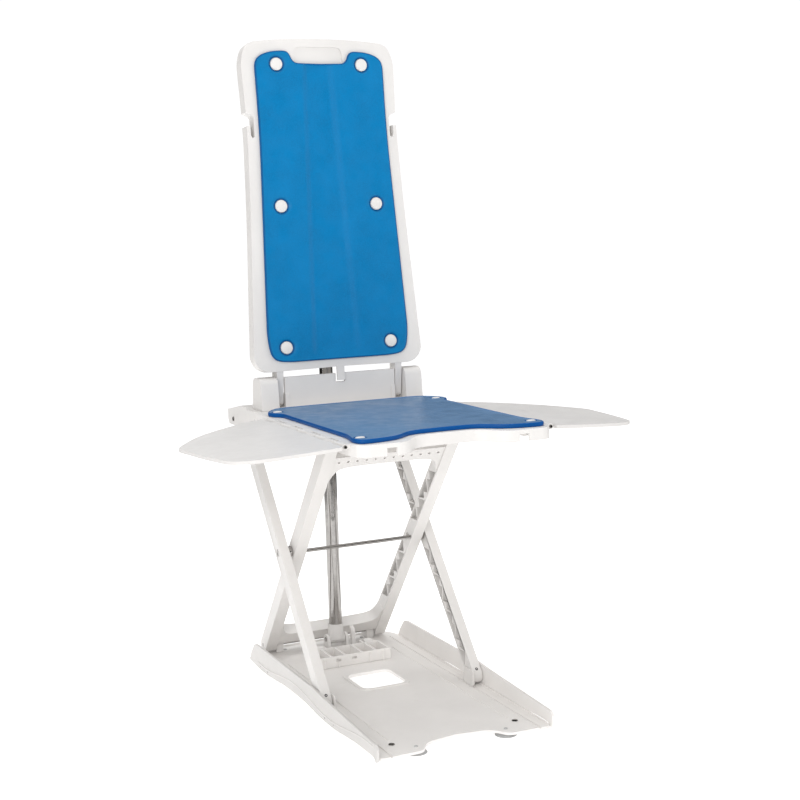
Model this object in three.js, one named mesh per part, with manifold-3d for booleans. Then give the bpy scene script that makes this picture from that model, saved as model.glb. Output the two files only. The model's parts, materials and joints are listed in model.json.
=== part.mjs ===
// Powered scissor-type bath lift, drawn raised with its backrest upright.
// Millimetres. +Z is up, the sitter faces -Y and +X is on the sitter's left. The floor is Z = 0.
// Pieces are placed from the driving sizes below; the origin ends up under the middle of the lift.
import * as THREE from 'three';
import { mergeVertices } from 'three/addons/utils/BufferGeometryUtils.js';
import Module from 'manifold-3d';

const wasm = await Module();
wasm.setup();

// ---------------------------------------------------------------- driving sizes
const GAP = 0.3;                 // left between fixed pieces that touch
const RUN = 0.4;                 // radial play of a pin in its hole
const PLAY = 0.6;                // beside a piece that slides or swings
const LOWEST_ARM = 1.2;          // how far anything under the folded arms may stand above the plate

const BASE = { width: 290, front: -304, rear: 304, under: 5, top: 9 };
const GUARD = { wall: 4, rear: 44, front: 30, low: 3, arch: 8, span: 306, clip: -116 };
const CUP = { radius: 21, lip: 3.4, x: 76, y: 282, stem: 6 };
const TRACK_SCREW = { x: 105, y: -258, radius: 5, shank: 2 };
const CLIP_HOLE = { off: 18, z: 8.6, radius: 1.7 };  // a pair beside each place where a guard is fixed
const DRAIN = { width: 80, depth: 84, y: 38, rim: 6, rise: 1.5 };

const AXLE = { y: 280, z: 24, radius: 4 };           // fixed rear foot of the inner frame
const RISE = 420;                                    // travel of the seat
const REACH = 346;                                   // level distance between an arm's two ends
const ARM = { depth: 26, wall: 3.5, flange: 3, rib: 2 };
const INNER = { in: 98, out: 119 };                  // X of an inner arm's two sides
const OUTER = { in: 127, out: 144 };                 // X of an outer arm's two sides
const BEAM = { low: 14, wide: 24, drop: 54, thick: 22, gusset: 34 };
const MID = { radius: 6, collar: 9 };                // scissor pin
const SHOE = { wide: 3.2, length: 34, height: 26 };  // upper and lower shoes pass side by side

const DECK = { front: -300, rear: 190, top: 472, thick: 5, margin: 8.4, skirt: 18, wall: 3.5 };
const RAIL = { rear: 312, wall: 3.8, low: 433, tail: 459 };
const PAD = { thick: 6.5, inset: 8, rear: 120, waist: 8 };
const PEG = { long: 8, wide: 4.5, stem: 3.5, slot: 1.5 };
const FLAP = { off: 6, drop: 4, thick: 5, barrel: 4.6, pin: 2.4, front: -286, rear: 66 };
const BLOCK = { front: 138, rear: 185, top: 527, half: 150, slot: [102.5, 118.5], wall: 6 };

const HINGE = { y: 165, z: 486, radius: 5 };         // backrest hinge axis
const LEAN = 5.5;                                    // degrees the backrest leans at rest
const BACK = { face: -22.6, skin: 4, depth: 24, wall: 4, foot: 48, height: 564 };
const TAB = { half: 7, drop: 22 };                   // small catch under the middle of the backrest
const COVER = { thick: 5 };
const SNAP = { radius: 11, height: 3.2 };
const SNAPS = [[97, 88], [88, 328], [78, 568]];      // X and height of the snap buttons above the hinge
const DRIVE = { half: 62, low: 540, high: 602, rear: 46, wall: 3.5, fin: 22 };
const SOCKET = { place: [-40, 20], radius: 7, bore: 4 };  // hand control's plug, under the drive housing

const COLUMN = { y: 218, z: 36, radius: 11.8, bore: 10, foot: 44, top: 546, pin: 4 };
const ROD = { radius: 3.2, off: 9.4, along: 9 };     // cross rod, off the arm's middle line and past its pin

// ---------------------------------------------------------------- worked out from them
const ARM_LENGTH = Math.hypot(RISE, REACH);
const ANGLE = Math.atan2(RISE, REACH);
const FOOT_Y = AXLE.y - REACH;
const TOP_Z = AXLE.z + RISE;
const DECK_LOW = DECK.top - DECK.thick;
const GUARD_IN = BASE.width / 2 + GAP;
const RAIL_IN = INNER.out + 1.3;
const RAIL_OUT = GUARD_IN + GUARD.wall + 1.5;
const RAIL_BEND = BASE.rear - 64;                    // behind the high part of the side guards
const DECK_HALF = RAIL_OUT + RAIL.wall + DECK.margin;
const FLAP_X = DECK_HALF + FLAP.off;                 // hinge line of the right flap
const PAD_HALF = DECK_HALF - PAD.inset;
const PEGS = [[14 - PAD_HALF, -265], [PAD_HALF - 14, -265], [10 - PAD_HALF, 74], [PAD_HALF - 10, 74]];
const LOW_SHOE = [OUTER.in - PLAY - SHOE.wide, OUTER.in - PLAY];
const HIGH_SHOE = [INNER.out + PLAY, INNER.out + PLAY + SHOE.wide];
const CUP_PLACES = [-1, 1].flatMap((sx) => [-1, 1].map((sy) => [sx * CUP.x, sy * CUP.y]));

// ---------------------------------------------------------------- finishes
const finish = (color, roughness, metalness = 0) =>
  new THREE.MeshStandardMaterial({ color, roughness, metalness });
const WHITE = finish(0xe9e6e2, 0.45);
const BLUE = finish(0x0e72b8, 0.6);
const STEEL = finish(0xb8b6b2, 0.22, 1);
const RUBBER = finish(0x3a3c3f, 0.8);
const DARK = finish(0x2b2d30, 0.5);

// ---------------------------------------------------------------- solids
const solidOf = (geometry) => {
  const bare = geometry.index ? geometry.toNonIndexed() : geometry.clone();
  bare.deleteAttribute('normal');
  bare.deleteAttribute('uv');
  const merged = mergeVertices(bare, 1e-4);
  return new wasm.Manifold(new wasm.Mesh({
    numProp: 3,
    vertProperties: new Float32Array(merged.attributes.position.array),
    triVerts: new Uint32Array(merged.index.array),
  }));
};

const geometryOf = (solid) => {
  const mesh = solid.getMesh();
  const geometry = new THREE.BufferGeometry();
  geometry.setAttribute('position', new THREE.BufferAttribute(mesh.vertProperties, 3));
  geometry.setIndex(new THREE.BufferAttribute(mesh.triVerts, 1));
  return geometry;
};

const join = (...solids) => solids.reduce((whole, next) => whole.add(next));
const cut = (body, ...tools) => tools.reduce((left, tool) => left.subtract(tool), body);

const box = (x0, x1, y0, y1, z0, z1) => {
  const geometry = new THREE.BoxGeometry(x1 - x0, y1 - y0, z1 - z0);
  geometry.translate((x0 + x1) / 2, (y0 + y1) / 2, (z0 + z1) / 2);
  return solidOf(geometry);
};

// A round bar along X, Y or Z from one end to the other; across holds its other two coordinates.
const bar = (axis, radius, from, to, across, sides = 14) => {
  const geometry = new THREE.CylinderGeometry(radius, radius, to - from, sides);
  const middle = (from + to) / 2;
  if (axis === 'x') geometry.rotateZ(Math.PI / 2).translate(middle, across[0], across[1]);
  if (axis === 'y') geometry.translate(across[0], middle, across[1]);
  if (axis === 'z') geometry.rotateX(Math.PI / 2).translate(across[0], across[1], middle);
  return solidOf(geometry);
};

const outline = (points) => new THREE.Shape(points.map(([a, b]) => new THREE.Vector2(a, b)));

// A closed outline whose corners are rounded; each point is [a, b, radius].
const rounded = (points, steps = 3) => {
  const shape = [];
  points.forEach(([a, b, radius = 0], index) => {
    if (!radius) {
      shape.push([a, b]);
      return;
    }
    const corner = new THREE.Vector2(a, b);
    const before = points[(index + points.length - 1) % points.length];
    const after = points[(index + 1) % points.length];
    const back = new THREE.Vector2(before[0], before[1]).sub(corner);
    const ahead = new THREE.Vector2(after[0], after[1]).sub(corner);
    const reach = Math.min(radius, back.length() * 0.49, ahead.length() * 0.49);
    const start = corner.clone().addScaledVector(back.normalize(), reach);
    const end = corner.clone().addScaledVector(ahead.normalize(), reach);
    const curve = new THREE.QuadraticBezierCurve(start, corner, end);
    curve.getPoints(steps).forEach((p) => shape.push([p.x, p.y]));
  });
  return shape;
};

const mirrored = (half) => [...half, ...half.slice().reverse().map(([a, b, r]) => [-a, b, r])];

const extrude = (points, depth) =>
  new THREE.ExtrudeGeometry(outline(points), { depth, bevelEnabled: false, steps: 1 });

// Plan outlines (X, Y) rise from z0 to z1.
const plan = (points, z0, z1) => solidOf(extrude(points, z1 - z0).translate(0, 0, z0));

// Side outlines (Y, Z) run from x0 to x1.
const side = (points, x0, x1) => {
  const geometry = extrude(points, x1 - x0);
  geometry.rotateX(Math.PI / 2).rotateZ(Math.PI / 2).translate(x0, 0, 0);
  return solidOf(geometry);
};

// Front outlines (X, Z) run from y0 back to y1.
const front = (points, y0, y1) => {
  const geometry = extrude(points, y1 - y0);
  geometry.rotateX(Math.PI / 2).translate(0, y1, 0);
  return solidOf(geometry);
};

const mirror = (solid) => solid.mirror([1, 0, 0]);
const both = (solid) => join(solid, mirror(solid));

const lift = new THREE.Group();
const add = (name, solid, material, parent = lift) => {
  const mesh = new THREE.Mesh(geometryOf(solid), material);
  mesh.name = name;
  parent.add(mesh);
  return mesh;
};
const SIDES = [['left', -1], ['right', 1]];
const sided = (solid, sign) => (sign > 0 ? solid : mirror(solid));

// ---------------------------------------------------------------- base
const halfBase = BASE.width / 2;

function basePlate() {
  const edge = rounded(mirrored([
    [0, BASE.front + 38, 60], [56, BASE.front + 30, 26], [71, BASE.front + 2, 12],
    [halfBase, BASE.front, 12], [halfBase, BASE.rear, 46],
  ]), 6);
  const drain = (grow) => rounded([
    [-DRAIN.width / 2 - grow, DRAIN.y - DRAIN.depth / 2 - grow, 16],
    [DRAIN.width / 2 + grow, DRAIN.y - DRAIN.depth / 2 - grow, 16],
    [DRAIN.width / 2 + grow, DRAIN.y + DRAIN.depth / 2 + grow, 16],
    [-DRAIN.width / 2 - grow, DRAIN.y + DRAIN.depth / 2 + grow, 16],
  ], 3);
  const lip = (half, y0, y1) => box(-half, half, y0, y1, BASE.top - 1, BASE.top + 3);
  const ridge = box(INNER.in + 2, INNER.in + 5, -240, 196, BASE.top - 1, BASE.top + LOWEST_ARM);
  const groove = box(LOW_SHOE[0], LOW_SHOE[1], BASE.front - 1, BASE.rear - 42, BASE.top - 1.6, BASE.top + 1);
  const edgeRail = box(halfBase - 3, halfBase, BASE.front + 14, BASE.rear - 50,
    BASE.top - 1, BASE.top + LOWEST_ARM);
  const plate = join(
    plan(edge, BASE.under, BASE.top),
    plan(drain(DRAIN.rim), BASE.top - 1, BASE.top + DRAIN.rise),
    lip(96, 299, 303),
    both(ridge),
    both(edgeRail),
  );
  const holes = CUP_PLACES.map((place) =>
    bar('z', CUP.stem / 2 + RUN, BASE.under - 1, BASE.top + 2, place, 12));
  const screwHole = bar('z', TRACK_SCREW.shank + GAP, BASE.under - 1, BASE.top + 1,
    [TRACK_SCREW.x, TRACK_SCREW.y], 10);
  return cut(plate, plan(drain(0), 0, BASE.top + 20), both(groove), ...holes, both(screwHole));
}

const CUP_NAMES = ['front_left', 'rear_left', 'front_right', 'rear_right'];

// A turned suction cup: a thin bell on the floor with a stem that snaps through the plate.
function suctionCup(x, y) {
  const stem = CUP.stem / 2;
  const profile = [
    [0, 2.4], [CUP.radius - CUP.lip - 2, 1.4], [CUP.radius - CUP.lip, 0], [CUP.radius, 0],
    [CUP.radius, 0.8], [CUP.radius * 0.6, BASE.under - GAP],
    [stem, BASE.under - GAP], [stem, BASE.top + 1.4], [0, BASE.top + 1.4],
  ];
  const cup = new THREE.LatheGeometry(profile.map(([r, z]) => new THREE.Vector2(r, z)), 14);
  cup.rotateX(Math.PI / 2).translate(x, y, 0);
  return solidOf(cup);
}

// The wall beside the plate; its lower edge is arched between the points where it is screwed on.
function sideGuard() {
  const low = (y) => GUARD.low + GUARD.arch * Math.sin(Math.PI * (y - GUARD.clip) / GUARD.span) ** 2;
  const arches = [];
  for (let y = BASE.rear - 34; y > BASE.front + 10; y -= 14) arches.push([y, low(y)]);
  const wall = side([
    [BASE.front + 4, GUARD.low], [BASE.front, GUARD.low + 4], [BASE.front, GUARD.front - 6],
    [BASE.front + 6, GUARD.front], [FOOT_Y - 30, GUARD.rear - 4], [FOOT_Y + 20, GUARD.rear],
    [BASE.rear - 74, GUARD.rear], [BASE.rear - 64, GUARD.rear - 3], [BASE.rear - 44, 20],
    [BASE.rear - 40, 12], ...arches,
  ], GUARD_IN, GUARD_IN + GUARD.wall);
  const clips = [GUARD.clip, GUARD.clip + GUARD.span].flatMap((y) => [y - CLIP_HOLE.off, y + CLIP_HOLE.off]);
  const holes = clips.map((y) =>
    bar('x', CLIP_HOLE.radius, GUARD_IN - 1, GUARD_IN + GUARD.wall + 1, [y, CLIP_HOLE.z], 12));
  return cut(wall, ...holes);
}

add('base_plate', basePlate(), WHITE);
CUP_PLACES.forEach(([x, y], index) => add(`suction_cup_${CUP_NAMES[index]}`, suctionCup(x, y), RUBBER));
SIDES.forEach(([name, sign]) => {
  add(`side_guard_${name}`, sided(sideGuard(), sign), WHITE);
  const at = [TRACK_SCREW.x, TRACK_SCREW.y];
  const screw = join(bar('z', TRACK_SCREW.radius, BASE.top + GAP, BASE.top + LOWEST_ARM, at, 14),
    bar('z', TRACK_SCREW.shank, BASE.under, BASE.top + 1, at, 10));
  add(`track_screw_${name}`, sided(screw, sign), STEEL);
});

// ---------------------------------------------------------------- foot of the drive and rear bearings
function axleBracket() {
  const low = BASE.top + GAP;
  const lug = side(rounded([
    [AXLE.y - 8, low, 0], [AXLE.y + 19, low, 0], [AXLE.y + 17, AXLE.z + 4, 8],
    [AXLE.y + 8, AXLE.z + 11, 8], [AXLE.y - 8, AXLE.z + 11, 8], [AXLE.y - 10, AXLE.z - 2, 4],
  ]), INNER.in - 15, INNER.in - 1.5);
  return cut(lug, bar('x', AXLE.radius + RUN, 0, 200, [AXLE.y, AXLE.z], 12));
}

// Small rollers behind the dock carry the drive's foot while it is clipped in.
const LEVER = { in: 25, out: 32, y: 207, z: 17, pin: 3, high: 57 };
const ROLLERS = { left: [-48, -32], right: [48, 62] };  // X of each roller's two ends
const DOCK = { half: 70, front: 134, rear: 198, top: 29, wall: 3 };
const SPINDLE = { y: DOCK.rear + 8, z: 21, radius: 2 };      // the rollers' middle line
function driveDock() {
  const low = BASE.top + 3 + GAP;
  const shell = box(-DOCK.half, DOCK.half, DOCK.front, DOCK.rear - 9, BASE.top + GAP, DOCK.top);
  const bays = [[-66, -44], [-40, -18], [-14, 14], [18, 40], [44, 66]].map(([x0, x1]) =>
    box(x0, x1, DOCK.front + DOCK.wall, DOCK.rear - 12, low, DOCK.top + 1));
  const ribs = [-56, -30, 30, 56].map((x) =>
    box(x - 1.5, x + 1.5, DOCK.front - 3, DOCK.front + 1, BASE.top + GAP, DOCK.top - 3));
  const slots = [-30, 0].map((x) => box(x - 5, x + 5, DOCK.front - 4, DOCK.front + 4, 19, 24));
  const cheek = (x0, x1, rear, top) => box(x0, x1, DOCK.rear - 10, rear, BASE.top + GAP, top);
  const rear = DOCK.rear + 17;
  const holders = Object.values(ROLLERS).flatMap(([x0, x1]) => [
    cheek(x0 - 5.5, x0 - 1.5, rear, 26), cheek(x1 + 1.5, x1 + 5.5, rear, 26),
    cheek(x0 - 5.5, x1 + 5.5, rear, BASE.top + GAP + 1.8),
  ]);
  const leverCheeks = [
    cheek(LEVER.in - 4, LEVER.in - 0.6, LEVER.y + 7, LEVER.z + 6),
    cheek(LEVER.out + 0.6, LEVER.out + 4, LEVER.y + 7, LEVER.z + 6),
    cheek(LEVER.in - 4, LEVER.out + 4, LEVER.y + 7, BASE.top + GAP + 1.6),
  ];
  const spindleHole = bar('x', SPINDLE.radius + RUN, -DOCK.half, DOCK.half, [SPINDLE.y, SPINDLE.z], 10);
  const leverHole = bar('x', LEVER.pin + RUN, LEVER.in - 6, LEVER.out + 5, [LEVER.y, LEVER.z], 12);
  return cut(join(shell, ...ribs, ...holders, ...leverCheeks), ...bays, ...slots,
    cut(spindleHole, box(LEVER.in - 8, LEVER.out + 5, 0, 300, 0, 60)), leverHole);
}

const LUG = { in: 15, out: 20 };
function columnBracket() {
  const low = BASE.top + GAP;
  const cheek = side(rounded([
    [COLUMN.y - 14, low, 0], [COLUMN.y + 14, low, 0], [COLUMN.y + 10, COLUMN.z + 9, 9],
    [COLUMN.y - 10, COLUMN.z + 9, 9],
  ]), LUG.in, LUG.out);
  const foot = box(-LUG.out, LUG.out, COLUMN.y - 14, COLUMN.y + 14, low, low + 3);
  return cut(join(foot, both(cheek)), bar('x', COLUMN.pin + RUN, -40, 40, [COLUMN.y, COLUMN.z], 12));
}

function releaseLever() {
  const blade = side(rounded([
    [LEVER.y - 4, LEVER.z - 3.6, 3], [LEVER.y + 4, LEVER.z - 3.6, 3], [LEVER.y + 4, LEVER.high - 12, 3],
    [LEVER.y + 9, LEVER.high - 4, 3], [LEVER.y + 7, LEVER.high, 2], [LEVER.y - 3, LEVER.high - 6, 6],
  ]), LEVER.in, LEVER.out);
  return cut(blade, bar('x', LEVER.pin + RUN, 0, 60, [LEVER.y, LEVER.z], 12));
}

SIDES.forEach(([name, sign]) => add(`axle_bracket_${name}`, sided(axleBracket(), sign), WHITE));
add('pivot_axle', bar('x', AXLE.radius, -INNER.out, INNER.out, [AXLE.y, AXLE.z], 12), STEEL);
add('drive_dock', driveDock(), WHITE);
add('column_bracket', columnBracket(), WHITE);
add('column_pin', bar('x', COLUMN.pin, -LUG.out - 1.5, LUG.out + 1.5, [COLUMN.y, COLUMN.z], 12), STEEL);
add('lever_pin', bar('x', LEVER.pin, LEVER.in - 5, LEVER.out + 5, [LEVER.y, LEVER.z], 12), STEEL);
add('release_lever', releaseLever(), WHITE);

Object.entries(ROLLERS).forEach(([name, [x0, x1]]) => {
  const spindle = bar('x', SPINDLE.radius, x0 - 6, x1 + 6, [SPINDLE.y, SPINDLE.z], 10);
  add(`dock_roller_${name}`, join(bar('x', 9, x0, x1, [SPINDLE.y, SPINDLE.z], 14), spindle), WHITE);
});

// ---------------------------------------------------------------- scissor arms
// Arms are drawn lying along +Y from their lower pivot, then turned up about X.
const halfArm = ARM.depth / 2;
const capsule = (length, radius, steps = 6) => {
  const points = [];
  for (let i = 0; i <= steps; i += 1) {
    const a = Math.PI / 2 + (Math.PI * i) / steps;
    points.push([radius * Math.cos(a), radius * Math.sin(a)]);
  }
  for (let i = 0; i <= steps; i += 1) {
    const a = -Math.PI / 2 + (Math.PI * i) / steps;
    points.push([length + radius * Math.cos(a), radius * Math.sin(a)]);
  }
  return points;
};

// Three-cornered pockets that leave a zigzag web between the two flanges; bosses stay solid.
function webPockets(x0, x1, keepOut) {
  const pitch = 36;
  const inside = halfArm - ARM.flange;
  const half = ARM.rib / 2 + 0.6;
  const pockets = [];
  const count = Math.floor((ARM_LENGTH - 36) / pitch);
  const start = (ARM_LENGTH - count * pitch) / 2;
  for (let i = 0; i < count; i += 1) {
    const a = start + i * pitch;
    const up = i % 2 ? -1 : 1;
    const middle = a + pitch / 2;
    const blocked = keepOut.some(([place, reach]) => Math.abs(middle - place) < reach + pitch / 2 - 3);
    if (!blocked) {
      const tri = [[a + half, -up * inside], [a + pitch - half, -up * inside],
        [middle, up * inside]];
      pockets.push(side(up > 0 ? tri : tri.reverse(), x0, x1));
      const next = [[middle + half * 1.6, up * inside], [middle + pitch - half * 1.6, up * inside],
        [a + pitch, -up * (inside - 4)]];
      if (i < count - 1 && !keepOut.some(([p, r]) => Math.abs(a + pitch - p) < r + pitch / 2 - 3)) {
        pockets.push(side(up > 0 ? next.reverse() : next, x0, x1));
      }
    }
  }
  return pockets;
}

function armBlank(x, pivots) {
  const blank = side(capsule(ARM_LENGTH, halfArm), x.in, x.out);
  const pockets = webPockets(x.in - 1, x.out - ARM.wall, [[ARM_LENGTH / 2, 13], ...pivots]);
  return cut(blank, ...pockets);
}

const acrossHole = (place, radius, x) =>
  bar('x', radius, x.in - 2, x.out + 2, [place, 0], 12);

// Turn a solid drawn along +Y so that it climbs at the scissor's angle; forward leans it to -Y.
const raise = (solid, y, z, forward) => {
  const turned = forward ? solid.rotate([180 - THREE.MathUtils.radToDeg(ANGLE), 0, 0])
    : solid.rotate([THREE.MathUtils.radToDeg(ANGLE), 0, 0]);
  return turned.translate([0, y, z]);
};

function innerFrame() {
  const beamTop = ARM_LENGTH - BEAM.drop + BEAM.wide;
  const lowBeam = rounded(mirrored([
    [0, BEAM.low], [INNER.in + 1, BEAM.low], [INNER.in + 1, BEAM.low + BEAM.wide + BEAM.gusset],
    [INNER.in - 1, BEAM.low + BEAM.wide + BEAM.gusset], [INNER.in - 8, BEAM.low + BEAM.wide + 4, 24],
    [INNER.in - BEAM.gusset - 14, BEAM.low + BEAM.wide, 16], [0, BEAM.low + BEAM.wide],
  ]), 3);
  const highBeam = rounded(mirrored([
    [0, beamTop], [INNER.in + 1, beamTop], [INNER.in + 1, beamTop - BEAM.wide - BEAM.gusset],
    [INNER.in - 1, beamTop - BEAM.wide - BEAM.gusset], [INNER.in - 10, beamTop - BEAM.wide - 4, 24],
    [INNER.in - BEAM.gusset - 10, beamTop - BEAM.wide, 16], [0, beamTop - BEAM.wide],
  ]).reverse(), 3);
  const half = BEAM.thick / 2;
  const lower = cut(plan(lowBeam, -half, half),
    box(-INNER.in + 16, INNER.in - 16, BEAM.low + 4, BEAM.low + BEAM.wide - 4, -half - 1, half - 3));
  const upper = cut(plan(highBeam, -half, half),
    box(-INNER.in + 16, INNER.in - 16, beamTop - BEAM.wide + 4, beamTop - 4, -half - 1, half - 3));
  const dots = [];
  for (let i = 0; i < 12; i += 1) {
    dots.push(bar('z', 2.2, half - 4, half + 1, [-88 + i * 16, beamTop - BEAM.wide / 2], 8));
  }
  const lowEnd = BEAM.low + BEAM.wide + BEAM.gusset;
  const highEnd = BEAM.drop + BEAM.gusset;
  const arm = armBlank(INNER, [[lowEnd / 2, lowEnd / 2], [ARM_LENGTH - highEnd / 2, highEnd / 2],
    [ARM_LENGTH / 2 + ROD.along, 6]]);
  const rodPlace = [ARM_LENGTH / 2 + ROD.along, ROD.off];
  const frame = join(both(arm), lower, upper);
  return cut(frame, ...dots,
    both(acrossHole(0, AXLE.radius + RUN, INNER)),
    both(acrossHole(ARM_LENGTH / 2, MID.radius + GAP, INNER)),
    both(acrossHole(ARM_LENGTH, AXLE.radius + RUN, INNER)),
    bar('x', ROD.radius + GAP, -INNER.in - 8, INNER.in + 8, rodPlace, 12));
}

function outerArm() {
  return cut(armBlank(OUTER, [[0, 12], [ARM_LENGTH, 12]]),
    acrossHole(0, AXLE.radius + RUN, OUTER),
    acrossHole(ARM_LENGTH / 2, MID.radius + RUN, OUTER),
    acrossHole(ARM_LENGTH, AXLE.radius + RUN, OUTER));
}

const crossRod = () => bar('x', ROD.radius, -INNER.in - 7.5, INNER.in + 7.5,
  [ARM_LENGTH / 2 + ROD.along, ROD.off], 12);
const scissorPin = () => join(
  bar('x', MID.radius, INNER.in + 4, OUTER.out - 1, [ARM_LENGTH / 2, 0], 14),
  bar('x', MID.collar, INNER.out + GAP, OUTER.in - GAP, [ARM_LENGTH / 2, 0], 14));

add('inner_frame', raise(innerFrame(), AXLE.y, AXLE.z, true), WHITE);
add('cross_rod', raise(crossRod(), AXLE.y, AXLE.z, true), STEEL);
SIDES.forEach(([name, sign]) => {
  add(`scissor_pin_${name}`, sided(raise(scissorPin(), AXLE.y, AXLE.z, true), sign), STEEL);
  add(`outer_arm_${name}`, sided(raise(outerArm(), FOOT_Y, AXLE.z, false), sign), WHITE);
});

// A slider at an arm's free end: a block that runs in a track, with a stub for the arm to turn on.
function shoe([x0, x1], stubFrom, stubTo, z, tongue) {
  const block = side(rounded([
    [FOOT_Y - SHOE.length / 2, z - SHOE.height / 2, 5], [FOOT_Y + SHOE.length / 2, z - SHOE.height / 2, 5],
    [FOOT_Y + SHOE.length / 2, z + SHOE.height / 2, 5], [FOOT_Y - SHOE.length / 2, z + SHOE.height / 2, 5],
  ]), x0, x1);
  return join(block, bar('x', AXLE.radius, stubFrom, stubTo, [FOOT_Y, z], 12), tongue);
}
const lowTongue = box(LOW_SHOE[0] + RUN, LOW_SHOE[1] - RUN, FOOT_Y - 12, FOOT_Y + 12,
  BASE.top - 1, AXLE.z - 8);
const highTongue = box(...HIGH_SHOE, FOOT_Y - 14, FOOT_Y + 14, TOP_Z + 8, DECK_LOW - 0.8);
SIDES.forEach(([name, sign]) => {
  const lower = shoe(LOW_SHOE, LOW_SHOE[1] - 2, OUTER.out - 1, AXLE.z, lowTongue);
  const upper = shoe(HIGH_SHOE, INNER.in + 2, HIGH_SHOE[0] + 2, TOP_Z, highTongue);
  add(`lower_shoe_${name}`, sided(lower, sign), WHITE);
  add(`upper_shoe_${name}`, sided(upper, sign), WHITE);
  add(`top_pin_${name}`, sided(bar('x', AXLE.radius, RAIL_IN - GAP, RAIL_OUT + RAIL.wall + 1.5,
    [AXLE.y, TOP_Z], 12), sign), STEEL);
});

// ---------------------------------------------------------------- seat
const KNUCKLES = { count: 9, gap: 1 };
const knuckleSpan = (FLAP.rear - FLAP.front - 20) / KNUCKLES.count;
const knuckle = (index) => {
  const start = FLAP.front + 10 + index * knuckleSpan;
  return [start + KNUCKLES.gap / 2, start + knuckleSpan - KNUCKLES.gap / 2];
};
const FLAP_Z = DECK.top - 4;

function seatPan() {
  const edge = (grow) => rounded(mirrored([
    [0, DECK.front + 42 - grow, 60], [52, DECK.front + 40 - grow, 40], [74, DECK.front + 6 - grow, 14],
    [90, DECK.front - 4 - grow, 8], [DECK_HALF - 10 + grow, DECK.front - 4 - grow, 22],
    [DECK_HALF + grow, DECK.front + 26, 20], [DECK_HALF + grow, DECK.rear, 0],
  ]), 3);
  const deck = plan(edge(0), DECK_LOW, DECK.top);
  const skirtLow = DECK.top - DECK.skirt;
  const skirt = cut(plan(edge(0), skirtLow, DECK.top), plan(edge(-DECK.wall), skirtLow - 1, DECK_LOW),
    box(-200, 200, DECK.rear - 60, DECK.rear + 1, skirtLow - 1, DECK_LOW));
  const notch = both(box(100, 116, DECK.front - 12, DECK.front + 7, skirtLow - 1, DECK_LOW - 1.5));
  const railTop = side([
    [130, DECK_LOW], [RAIL_BEND, DECK_LOW], [RAIL.rear, RAIL.tail - DECK.thick], [RAIL.rear, RAIL.tail],
    [RAIL_BEND, DECK.top], [130, DECK.top],
  ], RAIL_IN, RAIL_OUT + RAIL.wall);
  const railWall = (x0) => side(rounded([
    [142, DECK.top - 1, 0], [170, DECK.top - 22, 10], [AXLE.y - 16, RAIL.low, 10], [RAIL.rear, RAIL.low, 10],
    [RAIL.rear, RAIL.tail - 1, 0], [RAIL_BEND, DECK.top - 1, 0],
  ]), x0, x0 + RAIL.wall);
  const rearWall = box(RAIL_IN, RAIL_OUT + RAIL.wall, RAIL.rear - 3, RAIL.rear, RAIL.low + 8, RAIL.tail - 1);
  const rails = cut(join(railTop, railWall(RAIL_IN), railWall(RAIL_OUT), rearWall),
    bar('x', AXLE.radius + GAP, RAIL_IN - 1, RAIL_OUT + RAIL.wall + 1, [AXLE.y, TOP_Z], 12));
  const guide = (x) => box(x, x + 2, DECK.front + 10, FOOT_Y + 46, DECK_LOW - 8, DECK_LOW + 1);
  const hinges = [];
  for (let i = 0; i < KNUCKLES.count; i += 2) {
    const [y0, y1] = knuckle(i);
    hinges.push(join(bar('y', FLAP.barrel, y0, y1, [FLAP_X, FLAP_Z], 14),
      box(DECK_HALF - 2, FLAP_X, y0, y1, FLAP_Z - 3, FLAP_Z + 3.5)));
  }
  const ribs = [-200, -110, -20, 70].map((y) => box(-92, 92, y - 1.5, y + 1.5, DECK_LOW - 7, DECK_LOW + 1));
  const spines = both(box(90, 92.5, -240, 132, DECK_LOW - 7, DECK_LOW + 1));
  const whole = join(deck, skirt, both(rails), both(guide(HIGH_SHOE[0] - 3)), both(guide(HIGH_SHOE[1] + 1)),
    both(join(...hinges)), ...ribs, spines);
  const pegs = PEGS.map(([x, y]) => bar('z', PEG.stem + GAP, DECK_LOW - 1, DECK.top + 1, [x, y], 10));
  const relief = Array.from({ length: (KNUCKLES.count - 1) / 2 }, (_, i) => both(
    box(DECK_HALF - 1, DECK_HALF + 30, knuckle(2 * i + 1)[0] - 1, knuckle(2 * i + 1)[1] + 1, 440, 480)));
  return cut(whole, notch, both(bar('y', FLAP.pin + GAP, FLAP.front, FLAP.rear, [FLAP_X, FLAP_Z], 10)),
    ...pegs, ...relief);
}
const PEG_NAMES = ['front_left', 'front_right', 'rear_left', 'rear_right'];

const oblong = (x, y, long, wide) => rounded([
  [x - long, y - wide, wide], [x + long, y - wide, wide],
  [x + long, y + wide, wide], [x - long, y + wide, wide],
]);

// A peg with a flat oblong head that buttons through the pad's ear.
function padPeg(x, y) {
  const head = plan(oblong(x, y, PEG.long, PEG.wide), DECK.top + GAP, DECK.top + PAD.thick - 2);
  return join(head, bar('z', PEG.stem, DECK_LOW + 1, DECK.top + 1, [x, y], 10));
}

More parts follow.
